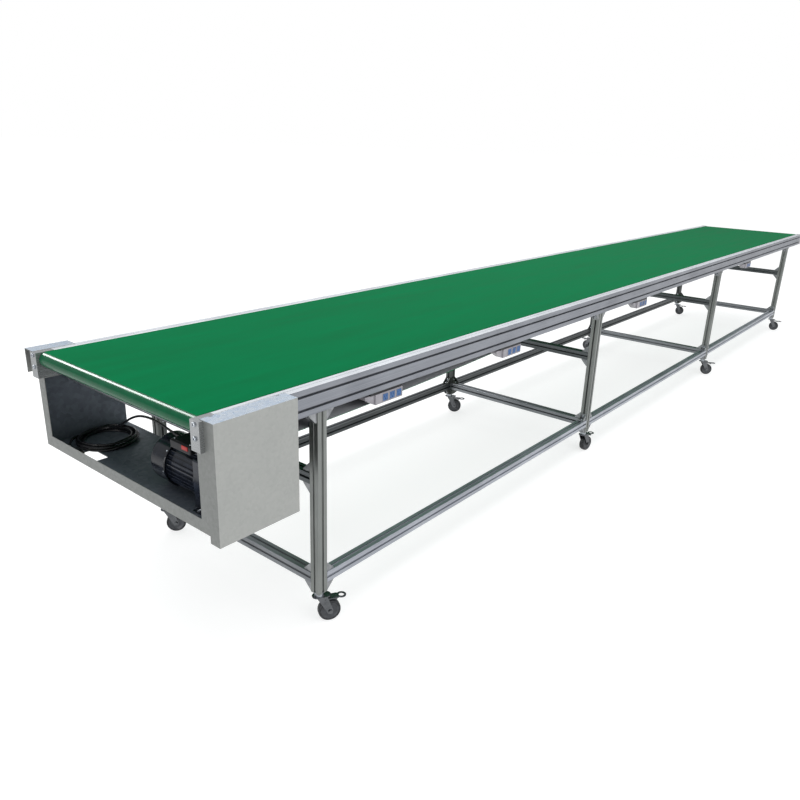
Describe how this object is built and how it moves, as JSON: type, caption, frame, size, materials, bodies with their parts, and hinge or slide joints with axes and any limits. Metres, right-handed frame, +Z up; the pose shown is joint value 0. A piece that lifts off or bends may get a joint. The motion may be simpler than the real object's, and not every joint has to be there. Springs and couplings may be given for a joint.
{
  "type": "belt conveyor section",
  "caption": "Long flat green belt conveyor on slotted aluminium legs with braked casters, under-slung gearmotor drive, chain guard and socket strips.",
  "frame": {"origin": "on the floor, in the middle of the length and of the width", "axes": "+X along the belt from the drive end to the tail end, +Y towards the side without the chain guard, +Z up"},
  "size_m": [6.996, 1.0926, 0.8715],
  "materials": {
    "anodised": "satin anodised",
    "block": "machined",
    "cast_bracket": "die cast",
    "bolt": "zinc plated",
    "sheet": "mill",
    "housing_sheet": "galvanised, shaded",
    "guard_sheet": "galvanised",
    "iron": "oiled",
    "gearbox": "painted",
    "motor_paint": "semi gloss",
    "motor_cover": "gloss",
    "black_plastic": "matte",
    "roller_steel": "turned",
    "belt": "smooth PVC",
    "socket_body": "gloss",
    "socket_blue": "gloss",
    "cord": "semi gloss",
    "zinc": "zinc plated",
    "wheel": "satin"
  },
  "bodies": {
    "frame": {"bearing_blocks": "block", "bearing_cover": "guard_sheet", "bed_cross_ties": "sheet", "cable_gland": "black_plastic", "caster_stems": "zinc", "chain_guard": "guard_sheet", "conveyor_belt": "belt", "cord_coil": "cord", "cord_plug": "black_plastic", "corner_brackets": "cast_bracket", "crossbars": "anodised", "drive_chain": "bolt", "drive_housing": "housing_sheet", "drum_bearings": "iron", "fan_cowl": "motor_cover", "far_side_rail": "anodised", "frame_bolts": "bolt", "gearbox": "gearbox", "legs": "anodised", "motor_body": "motor_paint", "near_side_rail": "anodised", "power_cord": "cord", "slider_bed": "sheet", "socket_hangers": "black_plastic", "socket_housings": "socket_body", "socket_inserts": "socket_blue", "stretchers": "anodised", "terminal_box": "motor_cover"},
    "drum": {"drive_drum": "roller_steel"},
    "nose": {"nose_roller": "roller_steel"},
    "tail": {"tail_roller": "roller_steel"},
    "snub": {"snub_roller": "roller_steel"},
    "return_1": {"return_roller_1": "roller_steel"},
    "return_2": {"return_roller_2": "roller_steel"},
    "gear_output": {"motor_sprocket": "iron"},
    "fan": {"motor_fan": "black_plastic"},
    "swivel_1": {"caster_fork_1": "zinc"},
    "wheel_1": {"caster_wheel_1": "wheel"},
    "brake_1": {"caster_brake_1": "zinc"},
    "swivel_2": {"caster_fork_2": "zinc"},
    "wheel_2": {"caster_wheel_2": "wheel"},
    "brake_2": {"caster_brake_2": "zinc"},
    "swivel_3": {"caster_fork_3": "zinc"},
    "wheel_3": {"caster_wheel_3": "wheel"},
    "brake_3": {"caster_brake_3": "zinc"},
    "swivel_4": {"caster_fork_4": "zinc"},
    "wheel_4": {"caster_wheel_4": "wheel"},
    "brake_4": {"caster_brake_4": "zinc"},
    "swivel_5": {"caster_fork_5": "zinc"},
    "wheel_5": {"caster_wheel_5": "wheel"},
    "brake_5": {"caster_brake_5": "zinc"},
    "swivel_6": {"caster_fork_6": "zinc"},
    "wheel_6": {"caster_wheel_6": "wheel"},
    "brake_6": {"caster_brake_6": "zinc"},
    "swivel_7": {"caster_fork_7": "zinc"},
    "wheel_7": {"caster_wheel_7": "wheel"},
    "brake_7": {"caster_brake_7": "zinc"},
    "swivel_8": {"caster_fork_8": "zinc"},
    "wheel_8": {"caster_wheel_8": "wheel"},
    "brake_8": {"caster_brake_8": "zinc"}
  },
  "joints": [
    {"name": "drum_spin", "type": "hinge", "parent": "frame", "child": "drum", "pos_m": [-3.294, 0, 0.766], "axis": [0, 1, 0], "continuous": true},
    {"name": "nose_spin", "type": "hinge", "parent": "frame", "child": "nose", "pos_m": [-3.4567, 0, 0.8427], "axis": [0, 1, 0], "continuous": true},
    {"name": "tail_spin", "type": "hinge", "parent": "frame", "child": "tail", "pos_m": [3.4567, 0, 0.8427], "axis": [0, 1, 0], "continuous": true},
    {"name": "snub_spin", "type": "hinge", "parent": "frame", "child": "snub", "pos_m": [-3.38, 0, 0.772], "axis": [0, 1, 0], "continuous": true},
    {"name": "return_1_spin", "type": "hinge", "parent": "frame", "child": "return_1", "pos_m": [-0.924, 0, 0.803], "axis": [0, 1, 0], "continuous": true},
    {"name": "return_2_spin", "type": "hinge", "parent": "frame", "child": "return_2", "pos_m": [1.216, 0, 0.803], "axis": [0, 1, 0], "continuous": true},
    {"name": "gear_output_spin", "type": "hinge", "parent": "frame", "child": "gear_output", "pos_m": [-3.334, -0.473, 0.611], "axis": [0, 1, 0], "continuous": true},
    {"name": "fan_spin", "type": "hinge", "parent": "frame", "child": "fan", "pos_m": [-3.334, -0.05, 0.611], "axis": [0, 1, 0], "continuous": true},
    {"name": "swivel_1_turn", "type": "hinge", "parent": "frame", "child": "swivel_1", "pos_m": [-3.045, -0.453, 0.098], "axis": [0, 0, 1], "continuous": true},
    {"name": "wheel_1_roll", "type": "hinge", "parent": "swivel_1", "child": "wheel_1", "pos_m": [-3.01469, -0.4705, 0.04], "axis": [0.5, 0.866, 0], "continuous": true},
    {"name": "brake_1_press", "type": "hinge", "parent": "swivel_1", "child": "brake_1", "pos_m": [-3.02941, -0.462, 0.088], "axis": [0.5, 0.866, 0], "range_deg": [0, 8]},
    {"name": "swivel_2_turn", "type": "hinge", "parent": "frame", "child": "swivel_2", "pos_m": [-1.028, -0.453, 0.098], "axis": [0, 0, 1], "continuous": true},
    {"name": "wheel_2_roll", "type": "hinge", "parent": "swivel_2", "child": "wheel_2", "pos_m": [-0.99334, -0.45787, 0.04], "axis": [0.1392, 0.9903, 0], "continuous": true},
    {"name": "brake_2_press", "type": "hinge", "parent": "swivel_2", "child": "brake_2", "pos_m": [-1.01018, -0.4555, 0.088], "axis": [0.1392, 0.9903, 0], "range_deg": [0, 8]},
    {"name": "swivel_3_turn", "type": "hinge", "parent": "frame", "child": "swivel_3", "pos_m": [0.989, -0.453, 0.098], "axis": [0, 0, 1], "continuous": true},
    {"name": "wheel_3_roll", "type": "hinge", "parent": "swivel_3", "child": "wheel_3", "pos_m": [1.00907, -0.48167, 0.04], "axis": [0.8192, 0.5736, 0], "continuous": true},
    {"name": "brake_3_press", "type": "hinge", "parent": "swivel_3", "child": "brake_3", "pos_m": [0.99932, -0.46775, 0.088], "axis": [0.8192, 0.5736, 0], "range_deg": [0, 8]},
    {"name": "swivel_4_turn", "type": "hinge", "parent": "frame", "child": "swivel_4", "pos_m": [3.006, -0.453, 0.098], "axis": [0, 0, 1], "continuous": true},
    {"name": "wheel_4_roll", "type": "hinge", "parent": "swivel_4", "child": "wheel_4", "pos_m": [3.01506, -0.48681, 0.04], "axis": [0.9659, 0.2588, 0], "continuous": true},
    {"name": "brake_4_press", "type": "hinge", "parent": "swivel_4", "child": "brake_4", "pos_m": [3.01066, -0.47039, 0.088], "axis": [0.9659, 0.2588, 0], "range_deg": [0, 8]},
    {"name": "swivel_5_turn", "type": "hinge", "parent": "frame", "child": "swivel_5", "pos_m": [-3.045, 0.453, 0.098], "axis": [0, 0, 1], "continuous": true},
    {"name": "wheel_5_roll", "type": "hinge", "parent": "swivel_5", "child": "wheel_5", "pos_m": [-3.01819, 0.4305, 0.04], "axis": [0.6428, 0.766, 0], "continuous": true},
    {"name": "brake_5_press", "type": "hinge", "parent": "swivel_5", "child": "brake_5", "pos_m": [-3.03121, 0.44143, 0.088], "axis": [0.6428, 0.766, 0], "range_deg": [0, 8]},
    {"name": "swivel_6_turn", "type": "hinge", "parent": "frame", "child": "swivel_6", "pos_m": [-1.028, 0.453, 0.098], "axis": [0, 0, 1], "continuous": true},
    {"name": "wheel_6_roll", "type": "hinge", "parent": "swivel_6", "child": "wheel_6", "pos_m": [-1.0105, 0.42269, 0.04], "axis": [0.866, 0.5, 0], "continuous": true},
    {"name": "brake_6_press", "type": "hinge", "parent": "swivel_6", "child": "brake_6", "pos_m": [-1.019, 0.43741, 0.088], "axis": [0.866, 0.5, 0], "range_deg": [0, 8]},
    {"name": "swivel_7_turn", "type": "hinge", "parent": "frame", "child": "swivel_7", "pos_m": [0.989, 0.453, 0.098], "axis": [0, 0, 1], "continuous": true},
    {"name": "wheel_7_roll", "type": "hinge", "parent": "swivel_7", "child": "wheel_7", "pos_m": [0.99806, 0.48681, 0.04], "axis": [-0.9659, 0.2588, 0], "continuous": true},
    {"name": "brake_7_press", "type": "hinge", "parent": "swivel_7", "child": "brake_7", "pos_m": [0.99366, 0.47039, 0.088], "axis": [-0.9659, 0.2588, 0], "range_deg": [0, 8]},
    {"name": "swivel_8_turn", "type": "hinge", "parent": "frame", "child": "swivel_8", "pos_m": [3.006, 0.453, 0.098], "axis": [0, 0, 1], "continuous": true},
    {"name": "wheel_8_roll", "type": "hinge", "parent": "swivel_8", "child": "wheel_8", "pos_m": [3.01797, 0.42011, 0.04], "axis": [0.9397, 0.342, 0], "continuous": true},
    {"name": "brake_8_press", "type": "hinge", "parent": "swivel_8", "child": "brake_8", "pos_m": [3.01216, 0.43609, 0.088], "axis": [0.9397, 0.342, 0], "range_deg": [0, 8]}
  ],
  "couplings": [
    {"joint": "nose_spin", "follows": "drum_spin", "ratio": 1.7414},
    {"joint": "tail_spin", "follows": "drum_spin", "ratio": 1.7414},
    {"joint": "snub_spin", "follows": "drum_spin", "ratio": -2.1502},
    {"joint": "return_1_spin", "follows": "drum_spin", "ratio": -2.1502},
    {"joint": "return_2_spin", "follows": "drum_spin", "ratio": -2.1502},
    {"joint": "gear_output_spin", "follows": "drum_spin", "ratio": 1.3333},
    {"joint": "fan_spin", "follows": "drum_spin", "ratio": 26.667}
  ]
}
